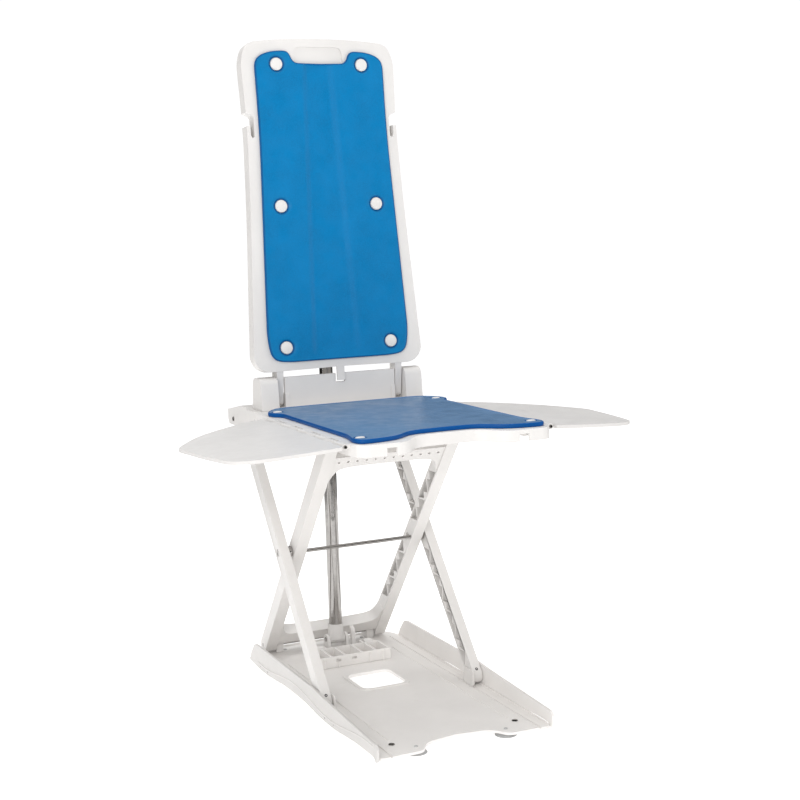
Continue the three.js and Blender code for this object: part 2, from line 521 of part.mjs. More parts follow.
function seatPad() {
  const low = DECK.top + GAP;
  const [, rearPeg] = PEGS[2];
  const waist = PAD_HALF - PAD.waist;
  const outlinePoints = rounded(mirrored([
    [0, DECK.front + 52, 60], [56, DECK.front + 50, 40], [84, DECK.front + 20, 30],
    [118, DECK.front + 10, 20], [PAD_HALF - 4, DECK.front + 8, 22], [PAD_HALF + 2, DECK.front + 30, 14],
    [waist, DECK.front + 70, 30], [waist, rearPeg - 28, 20], [PAD_HALF + 6, rearPeg - 16, 10],
    [PAD_HALF + 6, rearPeg + 8, 12], [PAD_HALF - 20, PAD.rear, 22], [0, PAD.rear, 0],
  ]));
  const slots = PEGS.map(([x, y]) =>
    plan(oblong(x, y, PEG.long + PEG.slot, PEG.wide + PEG.slot), low - 1, low + PAD.thick + 1));
  return cut(plan(outlinePoints, low, low + PAD.thick), ...slots);
}

add('seat_pan', seatPan(), WHITE);
add('seat_pad', seatPad(), BLUE);
PEGS.forEach(([x, y], index) => add(`pad_peg_${PEG_NAMES[index]}`, padPeg(x, y), WHITE));

// ---------------------------------------------------------------- side flaps
// Drawn level with the hinge line on the Y axis, then dropped a little and moved to the seat's edge.
function flap() {
  const start = FLAP.barrel + 1.2;
  const shape = rounded([
    [start, FLAP.front, 6], [70, FLAP.front + 4, 40], [131, FLAP.front + 14, 30], [163, FLAP.front + 34, 30],
    [177, FLAP.front + 100, 60], [190, FLAP.front + 208, 8], [183, FLAP.front + 224, 14],
    [135, FLAP.front + 292, 60], [56, FLAP.rear - 14, 30], [start, FLAP.rear, 6],
  ]);
  const sheet = plan(shape, -FLAP.thick / 2, FLAP.thick / 2);
  const inside = rounded([
    [18, FLAP.front + 10, 6], [129, FLAP.front + 22, 20], [153, FLAP.front + 40, 20],
    [167, FLAP.front + 100, 40], [177, FLAP.front + 206, 8], [127, FLAP.front + 282, 40],
    [18, FLAP.rear - 12, 6],
  ]);
  const hollow = plan(inside, -FLAP.thick / 2 - 1, -FLAP.thick / 2 + 2);
  const ribs = [70, 150, 230].map((y) => box(16, 150, FLAP.front + y, FLAP.front + y + 3, -2.5, 0));
  const barrels = [];
  for (let i = 1; i < KNUCKLES.count; i += 2) {
    const [y0, y1] = knuckle(i);
    barrels.push(join(bar('y', FLAP.barrel, y0, y1, [0, 0], 14), box(0, start + 4, y0, y1, -2.4, 2.4)));
  }
  return cut(join(cut(sheet, hollow), ...ribs, ...barrels), bar('y', FLAP.pin + RUN, -400, 400, [0, 0], 10));
}
SIDES.forEach(([name, sign]) => {
  const dropped = flap().rotate([0, FLAP.drop, 0]).translate([FLAP_X, 0, FLAP_Z]);
  add(`flap_${name}`, sided(dropped, sign), WHITE);
  add(`flap_pin_${name}`, sided(bar('y', FLAP.pin, FLAP.front + 8, FLAP.rear - 8,
    [FLAP_X, FLAP_Z], 10), sign), STEEL);
});

// ---------------------------------------------------------------- hinge block behind the seat
function hingeBlock() {
  const low = DECK.top + GAP;
  const lobe = side(rounded([
    [BLOCK.front - 2, low, 0], [BLOCK.rear, low, 0], [BLOCK.rear - 6, BLOCK.top, 14],
    [BLOCK.front + 3, BLOCK.top, 12],
  ]), BLOCK.slot[1], BLOCK.half);
  const lobeHollow = side([
    [BLOCK.front + 8, low - 1], [BLOCK.rear + 1, low - 1], [BLOCK.rear + 1, BLOCK.top - 14],
    [BLOCK.front + 11, BLOCK.top - 14],
  ], BLOCK.slot[1] + 7, BLOCK.half - 4);
  const cheek = side(rounded([
    [BLOCK.front + 11, low, 0], [BLOCK.rear, low, 0], [BLOCK.rear - 6, HINGE.z + 12, 12],
    [BLOCK.front + 11, HINGE.z + 12, 2],
  ]), BLOCK.slot[0] - 7, BLOCK.slot[0]);
  const panelY = BLOCK.front + 12.5;
  const panel = box(-BLOCK.slot[0], BLOCK.slot[0], panelY, panelY + BLOCK.wall, low, BLOCK.top - 1);
  const floor = box(-BLOCK.slot[1] - 1, BLOCK.slot[1] + 1, panelY, BLOCK.rear, low, low + 2.4);
  const tabSlot = box(-TAB.half - 1.5, TAB.half + 1.5, BLOCK.front, panelY + BLOCK.wall + 6,
    HINGE.z + BACK.foot - TAB.drop - 1, BLOCK.top + 1);
  const ribs = [-50, 0, 50].map((x) => side([
    [BLOCK.front + 14, low], [BLOCK.rear - 8, low], [BLOCK.front + 14, BLOCK.top - 8],
  ], x - 1.5, x + 1.5));
  const whole = join(both(cut(lobe, lobeHollow)), both(cheek), panel, floor, ...ribs);
  return cut(whole, tabSlot, both(bar('x', HINGE.radius + GAP, BLOCK.slot[0] - 9, BLOCK.slot[1] + 9,
    [HINGE.y, HINGE.z], 12)));
}
add('hinge_block', hingeBlock(), WHITE);
SIDES.forEach(([name, sign]) => add(`backrest_pin_${name}`, sided(
  bar('x', HINGE.radius, BLOCK.slot[0] - 8, BLOCK.slot[1] + 6, [HINGE.y, HINGE.z], 12), sign), STEEL));

// ---------------------------------------------------------------- backrest
// Drawn upright with the hinge axis through the origin, then leaned back and lifted onto its hinge.
const backrest = new THREE.Group();
backrest.position.set(0, HINGE.y, HINGE.z);
backrest.rotation.x = -THREE.MathUtils.degToRad(LEAN);
lift.add(backrest);

const backTop = BACK.foot + BACK.height;
const BACK_EDGE = [
  [0, BACK.foot + 2, 0], [138, BACK.foot, 24], [156, BACK.foot + 18, 26], [153, BACK.foot + 74, 60],
  [142, BACK.foot + 270, 160], [138, BACK.foot + 396, 0],
];
const BACK_HEAD = [
  [138, BACK.foot + 444, 0], [140.5, backTop - 36, 26], [129, backTop - 7, 24], [66, backTop - 1, 40],
  [0, backTop, 0],
];
// A hook is cut into each long edge, to hang the folded backrest by.
const HOOK = [
  [138, BACK.foot + 416], [131.5, BACK.foot + 417], [131.5, BACK.foot + 401], [129, BACK.foot + 396],
  [125, BACK.foot + 398], [124.5, BACK.foot + 430], [127, BACK.foot + 434], [138, BACK.foot + 439],
];

// Rear edge of the two fins beside the column: they follow the upright tube up the leaning shell.
const finRear = (z) => COLUMN.y - HINGE.y + 8 - z * Math.tan(THREE.MathUtils.degToRad(LEAN));

function backrestShell() {
  const faceEdge = rounded(mirrored([...BACK_EDGE, ...HOOK, ...BACK_HEAD]).reverse(), 4);
  const inner = (grow) => rounded(mirrored([
    [0, BACK.foot + grow, 0], [134, BACK.foot + grow, 20], [154 - grow, BACK.foot + 22, 22],
    [151 - grow, BACK.foot + 74, 60], [140 - grow, BACK.foot + 270, 100],
    [125 - grow, BACK.foot + 384, 10], [124 - grow, BACK.foot + 446, 10],
    [138 - grow, backTop - 40, 20], [126 - grow / 2, backTop - 10 - grow, 20], [0, backTop - grow - 1, 0],
  ]).reverse(), 3);
  const tray = cut(front(faceEdge, BACK.face, BACK.face + BACK.depth),
    front(inner(BACK.wall + 1), BACK.face + BACK.skin, BACK.face + BACK.depth + 1));
  const leg = side(rounded([
    [-9, -6, 7], [-4, -9.4, 7], [7, -9.4, 7], [10.5, 0, 8], [BACK.face + BACK.depth - 1, BACK.foot + 30, 0],
    [BACK.face + 2, BACK.foot + 30, 0], [BACK.face + 2, BACK.foot - 4, 10],
  ]), BLOCK.slot[0] + 2, BLOCK.slot[1] - 2);
  const tab = box(-TAB.half, TAB.half, BACK.face + 0.5, BACK.face + 4, BACK.foot - TAB.drop, BACK.foot + 6);
  const spine = both(side([
    [BACK.face + 2, BACK.foot + 4], [finRear(BACK.foot), BACK.foot + 4],
    [finRear(DRIVE.low - 12), DRIVE.low - 12], [BACK.face + 2, DRIVE.low - 12],
  ], DRIVE.fin, DRIVE.fin + 3));
  const handle = front(rounded([
    [-45, backTop - 42, 14], [-34, backTop - 45, 8], [34, backTop - 45, 8], [45, backTop - 42, 14],
    [43, backTop - 14, 10], [-43, backTop - 14, 10],
  ]), BACK.face - 1, BACK.face + 2.6);
  const snaps = SNAPS.flatMap(([x, z]) => [-x, x].map((sx) =>
    bar('y', 4 + GAP, BACK.face - 1, BACK.face + BACK.skin + 1, [sx, z], 12)));
  return cut(join(tray, both(leg), tab, spine), handle, ...snaps,
    both(bar('x', HINGE.radius + RUN, BLOCK.slot[0], BLOCK.slot[1], [0, 0], 12)));
}

function backrestCover() {
  const y1 = BACK.face - GAP;
  const shape = rounded(mirrored([
    [0, BACK.foot + 15, 0], [90, BACK.foot + 15, 10], [124, BACK.foot + 18, 26], [131, BACK.foot + 56, 30],
    [122, BACK.foot + 280, 160], [117, BACK.foot + 400, 80], [118, backTop - 34, 26], [90, backTop - 22, 20],
    [56, backTop - 21, 8], [48, backTop - 42, 8], [0, backTop - 43, 0],
  ]).reverse(), 3);
  const holes = SNAPS.flatMap(([x, z]) => [-x, x].map((sx) =>
    bar('y', SNAP.radius + GAP, y1 - 20, y1 + 1, [sx, z], 14)));
  return cut(front(shape, y1 - COVER.thick, y1), ...holes);
}

function snapButton(x, z) {
  const y1 = BACK.face - GAP;
  const profile = [[0, -SNAP.height - 2.4], [SNAP.radius - 4, -SNAP.height - 1.6],
    [SNAP.radius - 1.5, -SNAP.height], [SNAP.radius, -SNAP.height + 1.6], [SNAP.radius, 0], [4, 0],
    [4, BACK.skin + 2], [0, BACK.skin + 2]];
  const button = new THREE.LatheGeometry(profile.map(([r, y]) => new THREE.Vector2(r, y)), 14);
  return solidOf(button.translate(x, y1, z));
}

// The housing's outline seen from the front, drawn in by a wall's thickness where one is given.
const driveOutline = (inset) => {
  const half = DRIVE.half - inset;
  const low = DRIVE.low + inset;
  const high = DRIVE.high - inset;
  const foot = inset ? 9 : 12;
  const head = inset ? 12 : 16;
  return rounded([[-half, low, foot], [half, low, foot], [half, high, head], [-half, high, head]]);
};

function driveHousing() {
  const y0 = BACK.face + BACK.skin + GAP;
  const shape = driveOutline(0);
  const inside = driveOutline(DRIVE.wall);
  return cut(front(shape, y0, DRIVE.rear - DRIVE.wall - GAP), front(inside, y0 + DRIVE.wall, DRIVE.rear),
    bar('z', SOCKET.radius, DRIVE.low - 1, DRIVE.low + 8, SOCKET.place, 12));
}
const housingCover = () => front(driveOutline(0), DRIVE.rear - DRIVE.wall, DRIVE.rear);

add('backrest_shell', backrestShell(), WHITE, backrest);
add('backrest_cover', backrestCover(), BLUE, backrest);
['low', 'middle', 'high'].forEach((level, index) => SIDES.forEach(([name, sign]) => {
  const [x, z] = SNAPS[index];
  add(`snap_button_${level}_${name}`, snapButton(sign * x, z), WHITE, backrest);
}));
add('drive_housing', driveHousing(), WHITE, backrest);
add('housing_cover', housingCover(), WHITE, backrest);
const driveY = (BACK.face + BACK.skin + DRIVE.rear) / 2;
add('drive_motor', join(bar('x', 16, 4, 50, [driveY, (DRIVE.low + DRIVE.high) / 2], 16),
  bar('x', 4, -2, 6, [driveY, (DRIVE.low + DRIVE.high) / 2], 12)), DARK, backrest);
add('gearbox', cut(box(-24, 3, driveY - 17, driveY + 17, DRIVE.low + 12, DRIVE.high - 12),
  bar('x', 4 + RUN, -4, 4, [driveY, (DRIVE.low + DRIVE.high) / 2], 12)), DARK, backrest);
add('hand_control_socket', cut(
  bar('z', SOCKET.radius - GAP, DRIVE.low - 5, DRIVE.low + 16, SOCKET.place, 12),
  bar('z', SOCKET.bore, DRIVE.low - 6, DRIVE.low + 8, SOCKET.place, 12)), DARK, backrest);

// ---------------------------------------------------------------- lift column
function columnFoot() {
  const eye = bar('x', 9, -LUG.in + 0.8, LUG.in - 0.8, [COLUMN.y, COLUMN.z], 14);
  const socket = bar('z', 14, COLUMN.z, COLUMN.foot + 20, [0, COLUMN.y], 16);
  return cut(join(eye, socket),
    bar('z', COLUMN.radius + GAP, COLUMN.foot, COLUMN.foot + 40, [0, COLUMN.y], 20),
    bar('x', COLUMN.pin + RUN, -40, 40, [COLUMN.y, COLUMN.z], 12));
}
add('column_foot', columnFoot(), WHITE);
add('lift_tube', cut(bar('z', COLUMN.radius, COLUMN.foot + GAP, COLUMN.top, [0, COLUMN.y], 20),
  bar('z', COLUMN.bore, COLUMN.foot + 6, COLUMN.top + 1, [0, COLUMN.y], 16)), STEEL);
add('lift_spindle', bar('z', 5, COLUMN.foot + 6 + GAP, COLUMN.top - 8, [0, COLUMN.y], 12), STEEL);

// ---------------------------------------------------------------- origin under the middle
const bounds = new THREE.Box3().setFromObject(lift, true);
const middle = bounds.getCenter(new THREE.Vector3());
lift.position.set(-middle.x, -middle.y, -bounds.min.z);
lift.updateMatrixWorld(true);

export default lift;
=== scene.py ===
"""Looks of a powered bath lift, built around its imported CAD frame. Metres, in the frame of the CAD model."""
import json
import math

import bmesh
import bpy
from mathutils import Matrix, Vector, noise
from mathutils.geometry import delaunay_2d_cdt


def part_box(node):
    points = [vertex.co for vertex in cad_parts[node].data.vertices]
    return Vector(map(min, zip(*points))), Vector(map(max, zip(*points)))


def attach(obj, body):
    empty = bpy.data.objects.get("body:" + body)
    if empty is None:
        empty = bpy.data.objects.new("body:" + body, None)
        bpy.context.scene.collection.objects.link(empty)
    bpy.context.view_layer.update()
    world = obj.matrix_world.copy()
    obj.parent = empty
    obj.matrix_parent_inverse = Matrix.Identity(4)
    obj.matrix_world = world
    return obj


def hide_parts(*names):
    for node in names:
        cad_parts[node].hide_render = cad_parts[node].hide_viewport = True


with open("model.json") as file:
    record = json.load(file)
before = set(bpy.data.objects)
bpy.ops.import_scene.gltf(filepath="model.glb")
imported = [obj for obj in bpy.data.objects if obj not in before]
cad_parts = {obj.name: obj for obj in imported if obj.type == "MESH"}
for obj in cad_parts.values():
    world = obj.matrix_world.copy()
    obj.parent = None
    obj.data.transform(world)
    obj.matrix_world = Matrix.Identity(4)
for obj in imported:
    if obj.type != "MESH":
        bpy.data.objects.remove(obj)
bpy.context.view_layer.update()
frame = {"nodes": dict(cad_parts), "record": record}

MM = 0.001
record = frame["record"]
SLOT_OF = {part["node"]: part["material_slot"] for part in record["subparts"]}
BODY_OF = {node: body for body, nodes in record["behaviour"]["bodies"].items() for node in nodes}
JOINTS = {joint["name"]: joint for joint in record["behaviour"]["joints"]}
UP = Vector((0, 0, 1))
ACROSS = Vector((1, 0, 0))
SIDES = (("left", -1), ("right", 1))

# ---------------------------------------------------------------- camera
CAMERA = {
    "place": (-0.94743, -2.19421, 0.79623),
    "azimuth": -24.349,  # degrees about Z, 0 looks along +Y
    "elevation": 7.252,
    "roll": -1.84,
    "lens": 65.914,  # mm, on a 36 mm sensor
}


def add_camera():
    azimuth, elevation, roll = (math.radians(CAMERA[k]) for k in ("azimuth", "elevation", "roll"))
    back = Vector((math.sin(azimuth) * math.cos(elevation), -math.cos(azimuth) * math.cos(elevation),
                   math.sin(elevation)))
    right = UP.cross(back).normalized()
    up = back.cross(right)
    x = math.cos(roll) * right + math.sin(roll) * up
    y = math.cos(roll) * up - math.sin(roll) * right
    camera = bpy.data.objects.new("camera", bpy.data.cameras.new("camera"))
    camera.data.lens = CAMERA["lens"]
    camera.data.sensor_width = 36
    camera.data.clip_start = 0.05
    turn = Matrix((x, y, back)).transposed().to_4x4()
    camera.matrix_world = Matrix.Translation(CAMERA["place"]) @ turn
    bpy.context.scene.collection.objects.link(camera)
    bpy.context.scene.camera = camera


# ---------------------------------------------------------------- materials
class Paint:
    """A Principled material and short ways to add nodes to it. Textures lie in each piece's own space."""

    def __init__(self, name, colour, roughness, **values):
        self.material = bpy.data.materials.new(name)
        self.material.use_nodes = True
        self.tree = self.material.node_tree
        self.shader = self.tree.nodes["Principled BSDF"]
        self.set("Base Color", (*colour, 1))
        self.set("Roughness", roughness)
        for socket, value in values.items():
            self.set(socket.replace("_", " "), value)
        self.place = self.tree.nodes.new("ShaderNodeTexCoord").outputs["Object"]

    def set(self, socket, value):
        self.shader.inputs[socket].default_value = value

    def link(self, output, socket):
        self.tree.links.new(output, socket)

    def noise(self, scale, detail=2.0, rough=0.5, stretch=None):
        texture = self.tree.nodes.new("ShaderNodeTexNoise")
        texture.inputs["Scale"].default_value = scale
        texture.inputs["Detail"].default_value = detail
        texture.inputs["Roughness"].default_value = rough
        source = self.place
        if stretch:
            mapping = self.tree.nodes.new("ShaderNodeMapping")
            mapping.inputs["Scale"].default_value = stretch
            self.link(source, mapping.inputs["Vector"])
            source = mapping.outputs["Vector"]
        self.link(source, texture.inputs["Vector"])
        return texture.outputs["Fac"]

    def cells(self, scale):
        texture = self.tree.nodes.new("ShaderNodeTexVoronoi")
        texture.inputs["Scale"].default_value = scale
        self.link(self.place, texture.inputs["Vector"])
        return texture.outputs["Distance"]

    def ramp(self, source, low, high, at=(0.35, 0.65)):
        """Source from at[0] to at[1] becomes a number from low to high."""
        node = self.tree.nodes.new("ShaderNodeMapRange")
        node.inputs["From Min"].default_value, node.inputs["From Max"].default_value = at
        node.inputs["To Min"].default_value, node.inputs["To Max"].default_value = low, high
        self.link(source, node.inputs["Value"])
        return node.outputs["Result"]

    def mix(self, factor, first, second):
        """Colours first and second, mixed by factor; each is a colour or an output."""
        node = self.tree.nodes.new("ShaderNodeMix")
        node.data_type = "RGBA"
        self.link(factor, node.inputs["Factor"])
        for socket, value in ((node.inputs[6], first), (node.inputs[7], second)):
            if isinstance(value, tuple):
                socket.default_value = (*value, 1)
            else:
                self.link(value, socket)
        return node.outputs[2]

    def bump(self, source, height, strength=1.0, below=None):
        node = self.tree.nodes.new("ShaderNodeBump")
        node.inputs["Distance"].default_value = height
        node.inputs["Strength"].default_value = strength
        self.link(source, node.inputs["Height"])
        if below:
            self.link(below, node.inputs["Normal"])
        self.link(node.outputs["Normal"], self.shader.inputs["Normal"])
        return node.outputs["Normal"]


def shade(colour, factor):
    return tuple(channel * factor for channel in colour)


def moulded_plastic(name, colour, roughness, tint):
    """Moulded plastic with a fine grain, soft mottling, slightly uneven gloss and marks that tint it."""
    paint = Paint(name, colour, roughness, Specular_IOR_Level=0.42)
    mottled = paint.mix(paint.ramp(paint.noise(11, 4), 0, 1), shade(colour, 0.955), colour)
    marks = paint.ramp(paint.noise(38, 6, 0.7, (1, 1, 0.3)), 0, 0.5, (0.58, 0.8))
    paint.link(paint.mix(marks, mottled, tint), paint.shader.inputs["Base Color"])
    uneven = paint.ramp(paint.noise(70, 3), roughness - 0.06, roughness + 0.08)
    paint.link(uneven, paint.shader.inputs["Roughness"])
    waves = paint.bump(paint.noise(26, 2), 0.0004, 0.25)
    paint.bump(paint.noise(1500, 2), 0.00012, 0.5, waves)
    return paint.material


def foam_skin(name, colour, edge, gloss, roughness):
    """The smooth skin of a moulded soft-foam mat, with painted shade: the colour turns to the darker edge
    colour where the vertex attribute of the rolled edges is high.
    """
    paint = Paint(name, colour, roughness, Specular_IOR_Level=gloss)
    mottled = paint.mix(paint.ramp(paint.noise(17, 5, 0.6), 0, 1), shade(colour, 0.9), shade(colour, 1.05))
    speckled = paint.mix(paint.ramp(paint.noise(520, 3, 0.7), 0, 0.5), mottled, shade(colour, 1.3))
    # Painted shade on the rolled edges, read from a vertex attribute that the mat's mesh carries.
    edge_shade = paint.tree.nodes.new("ShaderNodeAttribute")
    edge_shade.attribute_name = "edge_shade"
    paint.link(paint.mix(edge_shade.outputs["Fac"], speckled, edge), paint.shader.inputs["Base Color"])
    uneven = paint.ramp(paint.noise(45, 4), roughness - 0.08, roughness + 0.1)
    paint.link(uneven, paint.shader.inputs["Roughness"])
    skin = paint.bump(paint.cells(620), 0.00016, 0.55)
    paint.bump(paint.noise(1100, 3), 0.0001, 0.5, skin)
    return paint.material


def polished_steel(name):
    """Polished stainless steel with faint lengthwise polishing lines."""
    colour = (0.42, 0.405, 0.39)
    paint = Paint(name, colour, 0.16, Metallic=1.0)
    smudged = paint.mix(paint.ramp(paint.noise(24, 4), 0, 1), shade(colour, 0.88), colour)
    paint.link(smudged, paint.shader.inputs["Base Color"])
    paint.link(paint.ramp(paint.noise(90, 3), 0.11, 0.23), paint.shader.inputs["Roughness"])
    paint.bump(paint.noise(900, 2, 0.5, (1, 1, 0.01)), 0.00002, 0.5)
    return paint.material


def rubber(name):
    paint = Paint(name, (0.3, 0.3, 0.3), 0.4, Specular_IOR_Level=0.5)
    colour = paint.mix(paint.ramp(paint.noise(60, 4), 0, 1), (0.42, 0.42, 0.42), (0.55, 0.55, 0.545))
    paint.link(colour, paint.shader.inputs["Base Color"])
    paint.bump(paint.noise(1300, 2), 0.0001, 0.5)
    return paint.material


def dark_plastic(name):
    paint = Paint(name, (0.03, 0.03, 0.034), 0.5, Specular_IOR_Level=0.4)
    colour = paint.mix(paint.ramp(paint.noise(40, 3), 0, 1), (0.022, 0.022, 0.025), (0.045, 0.045, 0.05))
    paint.link(colour, paint.shader.inputs["Base Color"])
    paint.bump(paint.noise(1500, 2), 0.0001, 0.5)
    return paint.material


WHITE = (0.735, 0.715, 0.695)
MATERIALS = {
    "white_plastic": moulded_plastic("white_plastic_skin", WHITE, 0.42, (0.66, 0.63, 0.60)),
    # Painted light: a lighter copy of the white plastic for pieces low under the seat.
    "base": moulded_plastic("painted_light_white_skin", shade(WHITE, 1.16), 0.45, (0.76, 0.73, 0.70)),
    # Painted shade: a darker copy of the white plastic for the flaps and the left guard.
    "flap": moulded_plastic("painted_shade_white_skin", shade(WHITE, 0.92), 0.5, (0.62, 0.60, 0.57)),
    # Each foam's second colour is painted shade for its rolled edges.
    "blue_cover": foam_skin("blue_cover_skin", (0.0, 0.165, 0.39), (0.0, 0.085, 0.25), 0.16, 0.38),
    # The seat pad's top colour is greyed as a painted sheen.
    "blue_pad": foam_skin("blue_pad_skin", (0.105, 0.2, 0.34), (0.0, 0.075, 0.29), 0.16, 0.4),
    "steel": polished_steel("polished_steel"),
    "black_rubber": rubber("grey_rubber"),
    "dark_plastic": dark_plastic("dark_moulding"),
}

# ---------------------------------------------------------------- CAD nodes that stay
SHARP = math.radians(38)
PLAIN_BEVEL = 0.4  # mm
BEVEL = {"release_lever": 0.6, "drive_dock": 0.5, "inner_frame": 0.7, "hinge_block": 1.4,
         "backrest_shell": 1.1, "seat_pan": 1.2, "base_plate": 0.7,
         "side_guard_left": 0.9, "side_guard_right": 0.9, "flap_left": 0.8, "flap_right": 0.8,
         "outer_arm_left": 1.0, "outer_arm_right": 1.0,
         "drive_housing": 1.2, "housing_cover": 0.8}
# Lit and shaded copies of the white plastic: painted light on the base pieces low under the seat and on the
# right guard, painted shade on the flaps and the left guard.
LIT_AND_SHADED_COPIES = {"base_plate": "base", "side_guard_right": "base", "drive_dock": "base", "side_guard_left": "flap",
         "flap_left": "flap", "flap_right": "flap"}


def smooth_group():
    """Geometry nodes that shade a mesh smooth and keep its sharp edges sharp."""
    group = bpy.data.node_groups.new("smooth_by_angle", "GeometryNodeTree")
    group.interface.new_socket("Geometry", in_out="INPUT", socket_type="NodeSocketGeometry")
    group.interface.new_socket("Geometry", in_out="OUTPUT", socket_type="NodeSocketGeometry")
    start, end = group.nodes.new("NodeGroupInput"), group.nodes.new("NodeGroupOutput")
    faces, edges = (group.nodes.new("GeometryNodeSetShadeSmooth") for _ in range(2))
    faces.domain, edges.domain = "FACE", "EDGE"
    edges.inputs["Shade Smooth"].default_value = False
    angle = group.nodes.new("GeometryNodeInputMeshEdgeAngle")
    sharp = group.nodes.new("FunctionNodeCompare")
    sharp.operation = "GREATER_THAN"
    sharp.inputs[1].default_value = SHARP
    group.links.new(start.outputs[0], faces.inputs["Geometry"])
    group.links.new(faces.outputs[0], edges.inputs["Geometry"])
    group.links.new(angle.outputs["Unsigned Angle"], sharp.inputs[0])
    group.links.new(sharp.outputs[0], edges.inputs["Selection"])
    group.links.new(edges.outputs[0], end.inputs[0])
    return group


SMOOTH = smooth_group()


def soften(obj, bevel):
    """Rounds a CAD node's edges with modifiers: its own mesh stays as it is."""
    weld = obj.modifiers.new("weld", "WELD")
    weld.merge_threshold = 1e-5
    edge = obj.modifiers.new("bevel", "BEVEL")
    edge.width = bevel * MM
    edge.segments = 2
    edge.limit_method = "ANGLE"
    edge.angle_limit = SHARP
    edge.miter_outer = "MITER_ARC"
    shading = obj.modifiers.new("shading", "NODES")
    shading.node_group = SMOOTH
    normals = obj.modifiers.new("normals", "WEIGHTED_NORMAL")
    normals.keep_sharp = True


def dress_nodes():
    for name, node in frame["nodes"].items():
        node.data.materials[0] = MATERIALS[LIT_AND_SHADED_COPIES.get(name, SLOT_OF[name])]
        soften(node, BEVEL.get(name, PLAIN_BEVEL))


# ---------------------------------------------------------------- new pieces
def add_piece(name, mesh, like, stands_for=()):
    """A new piece with the finish and body of the CAD node it is like."""
    obj = bpy.data.objects.new(name, mesh)
    bpy.context.scene.collection.objects.link(obj)
    mesh.materials.append(MATERIALS[SLOT_OF[like]])
    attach(obj, BODY_OF[like])
    if stands_for:
        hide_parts(*stands_for)
    return obj


def mesh_of(name, bm, smooth=True):
    bmesh.ops.recalc_face_normals(bm, faces=bm.faces)
    mesh = bpy.data.meshes.new(name)
    bm.to_mesh(mesh)
    bm.free()
    for face in mesh.polygons:
        face.use_smooth = smooth
    mesh.set_sharp_from_angle(angle=SHARP)
    return mesh


def side_axes(axis):
    """Two unit vectors square to axis and to each other; the first is the lift's X axis where it can be."""
    first = ACROSS if abs(axis.dot(ACROSS)) < 0.9 else UP
    first = (first - axis * first.dot(axis)).normalized()
    return first, axis.cross(first)


def turned(name, profile, centre, axis, sides=48):
    """Turns a profile about axis. A point is (radius, height) in mm, or (radius, height, 6) for a hexagon."""
    first, second = side_axes(axis)
    bm = bmesh.new()
    rings = []
    for radius, height, *corners in profile:
        base = centre + axis * height * MM
        if radius == 0:
            rings.append([bm.verts.new(base)])
            continue
        ring = []
        for i in range(sides):
            angle = 2 * math.pi * i / sides
            reach = radius
            if corners:
                third = math.pi / corners[0]
                reach = radius * math.cos(third) / math.cos((angle % (2 * third)) - third)
            outward = first * math.cos(angle) + second * math.sin(angle)
            ring.append(bm.verts.new(base + outward * reach * MM))
        rings.append(ring)
    for lower, upper in zip(rings, rings[1:]):
        for i in range(sides):
            quad = [lower[i % len(lower)], lower[(i + 1) % len(lower)],
                    upper[(i + 1) % len(upper)], upper[i % len(upper)]]
            corners = list(dict.fromkeys(quad))
            if len(corners) > 2:
                bm.faces.new(corners)
    return mesh_of(name, bm)


def measure(node, axis):
    """A round node's middle line, lowest and highest level along axis, and radius in mm."""
    first, second = side_axes(axis)
    points = [v.co for v in frame["nodes"][node].data.vertices]
    spans = [(min(p.dot(d) for p in points), max(p.dot(d) for p in points)) for d in (first, second, axis)]
    middle = first * sum(spans[0]) / 2 + second * sum(spans[1]) / 2
    return middle, spans[2][0], spans[2][1], (spans[0][1] - spans[0][0]) / 2 / MM


backrest_front = next(m for m in record["mounts"] if m["name"] == "backrest_front")
FORWARD = Vector(backrest_front["axis"]).normalized()  # square to the backrest's face


def snap_buttons():
    """Shallow domed caps with a rolled lip, which hold the cover on."""
    for name in frame["nodes"]:
        if name.startswith("snap_button"):
            middle, low, high, radius = measure(name, FORWARD)
            top = (high - low) / MM
            profile = [(0, 0), (radius * 0.4, 0), (radius * 0.4, top * 0.4), (radius - 0.2, top * 0.42),
                       (radius, top * 0.5), (radius, top - 2.9), (radius - 0.5, top - 1.7),
                       (radius - 1.5, top - 1.05), (radius - 2.6, top - 1.15), (radius - 3.4, top - 0.9),
                       (radius * 0.4, top - 0.2), (0, top)]
            mesh = turned(name + "_cap", profile, middle + FORWARD * low, FORWARD, 56)
            add_piece(name + "_cap", mesh, name, [name])


def bright_bars():
    """The lift tube and the cross rod, round and with turned ends."""
    middle, low, high, radius = measure("lift_tube", UP)
    bore = radius - 1.8
    length = (high - low) / MM
    profile = [(bore, 5), (bore, length - 0.6), (bore + 0.6, length), (radius - 0.6, length),
               (radius, length - 0.6),
               (radius, 0.6), (radius - 0.6, 0), (0, 0), (0, 5), (bore, 5)]
    add_piece("lift_tube_bright", turned("lift_tube_bright", profile, middle + UP * low, UP, 72),
              "lift_tube", ["lift_tube"])
    middle, low, high, radius = measure("cross_rod", ACROSS)
    length = (high - low) / MM
    profile = [(0, 0), (radius - 0.5, 0), (radius, 0.5), (radius, length - 0.5), (radius - 0.5, length),
               (0, length)]
    add_piece("cross_rod_bright", turned("cross_rod_bright", profile, middle + ACROSS * low, ACROSS, 40),
              "cross_rod", ["cross_rod"])


CUP_SHARE = 0.84  # the bell is drawn a little in from the solid's edge


